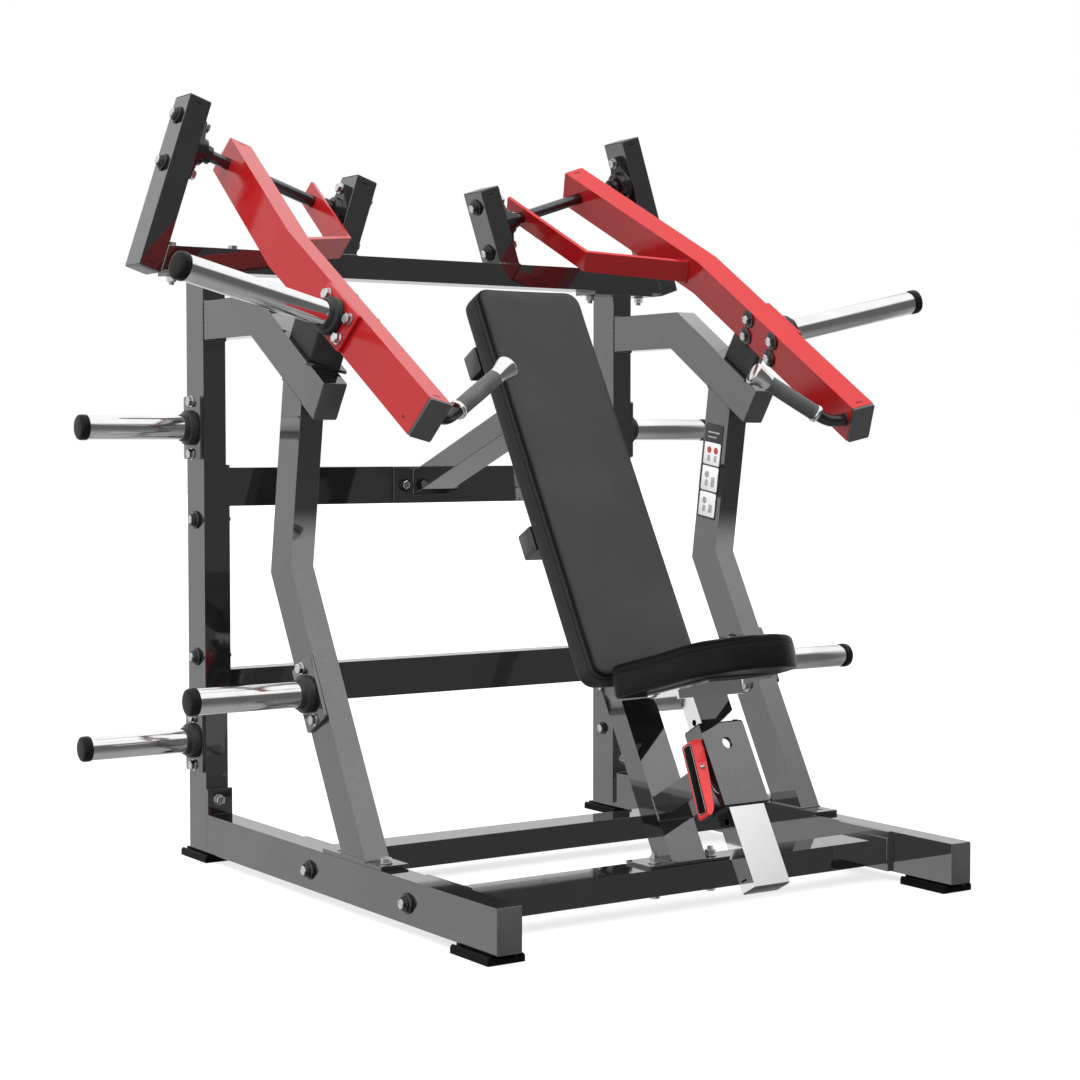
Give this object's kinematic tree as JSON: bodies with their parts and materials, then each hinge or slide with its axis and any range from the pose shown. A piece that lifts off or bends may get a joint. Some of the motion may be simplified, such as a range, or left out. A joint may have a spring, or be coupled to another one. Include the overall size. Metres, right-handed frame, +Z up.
{
  "type": "chest press machine",
  "caption": "Plate-loaded incline chest press with independent lever arms, inclined back pad, height-adjustable seat and plate storage horns",
  "frame": {"origin": "on the floor, at the centre of the machine's outline: the bottom centre of its bounding box, on the left-right symmetry plane", "axes": "+X to the right-hand side seen from the user's front (picture view), -Y the way the seated user faces, +Z up; X = 0 is the symmetry plane"},
  "size_m": [1.7648, 1.269, 1.581],
  "materials": {
    "frame_paint": "gloss",
    "red_paint": "gloss",
    "chrome": "polished",
    "zinc_steel": "satin",
    "bearing_iron": "satin",
    "black_rubber": "satin",
    "grip_rubber": "matte",
    "black_plastic": "satin",
    "pad_vinyl": "satin"
  },
  "bodies": {
    "root": {"rail_left": "frame_paint", "rear_upright_left": "frame_paint", "front_post_left": "frame_paint", "upper_arm_left": "frame_paint", "stop_saddle_left": "frame_paint", "pivot_post_outer_left": "frame_paint", "pivot_post_inner_left": "frame_paint", "stop_block_left": "black_rubber", "bearing_inner_left": "bearing_iron", "bearing_outer_left": "bearing_iron", "storage_horn_upper_left": "chrome", "storage_horn_lower_left": "chrome", "storage_horn_front_left": "chrome", "foot_front_left": "black_rubber", "foot_rear_left": "black_rubber", "rail_right": "frame_paint", "rear_upright_right": "frame_paint", "front_post_right": "frame_paint", "upper_arm_right": "frame_paint", "stop_saddle_right": "frame_paint", "pivot_post_outer_right": "frame_paint", "pivot_post_inner_right": "frame_paint", "stop_block_right": "black_rubber", "bearing_inner_right": "bearing_iron", "bearing_outer_right": "bearing_iron", "storage_horn_upper_right": "chrome", "storage_horn_lower_right": "chrome", "storage_horn_front_right": "chrome", "foot_front_right": "black_rubber", "foot_rear_right": "black_rubber", "top_beam": "frame_paint", "rear_h_frame": "frame_paint", "base_front_crossmember": "frame_paint", "base_rear_crossmember": "frame_paint", "backrest_frame": "frame_paint", "pad_brace": "frame_paint", "seat_sleeve": "frame_paint", "sleeve_liner": "black_plastic", "back_pad": "pad_vinyl", "latch_pivot_pin": "zinc_steel"},
    "lever_left": {"lever_arm_left": "red_paint", "lever_bracket_left": "red_paint", "lever_shaft_left": "zinc_steel", "lever_horn_left": "chrome", "handle_rod_left": "frame_paint", "handle_grip_left": "grip_rubber", "grip_end_cap_left": "chrome", "lever_end_cap_left": "black_plastic"},
    "lever_right": {"lever_arm_right": "red_paint", "lever_bracket_right": "red_paint", "lever_shaft_right": "zinc_steel", "lever_horn_right": "chrome", "handle_rod_right": "frame_paint", "handle_grip_right": "grip_rubber", "grip_end_cap_right": "chrome", "lever_end_cap_right": "black_plastic"},
    "seat": {"seat_post": "chrome", "seat_pad": "pad_vinyl"},
    "latch": {"latch_lever": "red_paint"},
    "lock_pin": {"lock_pin": "zinc_steel"}
  },
  "joints": [
    {"name": "lever_left_swing", "type": "hinge", "parent": "root", "child": "lever_left", "pos_m": [-0.44671, 0.56676, 1.44073], "axis": [-0.9494, 0, 0.314], "range_deg": [0, 48]},
    {"name": "lever_right_swing", "type": "hinge", "parent": "root", "child": "lever_right", "pos_m": [0.44671, 0.56676, 1.44073], "axis": [-0.9494, 0, -0.314], "range_deg": [0, 48]},
    {"name": "seat_height", "type": "slide", "parent": "root", "child": "seat", "axis": [0, 0.4894, 0.8721], "range_m": [-0.0387, 0.1548]},
    {"name": "latch_tilt", "type": "hinge", "parent": "root", "child": "latch", "pos_m": [-0.0698, -0.50277, 0.27749], "axis": [0, -0.8721, 0.4894], "range_deg": [0, 12]},
    {"name": "lock_pin_slide", "type": "slide", "parent": "root", "child": "lock_pin", "axis": [-1, 0, 0], "range_m": [0, 0.0084]}
  ],
  "couplings": [
    {"joint": "lock_pin_slide", "follows": "latch_tilt", "m_per_rad": 0.04}
  ]
}
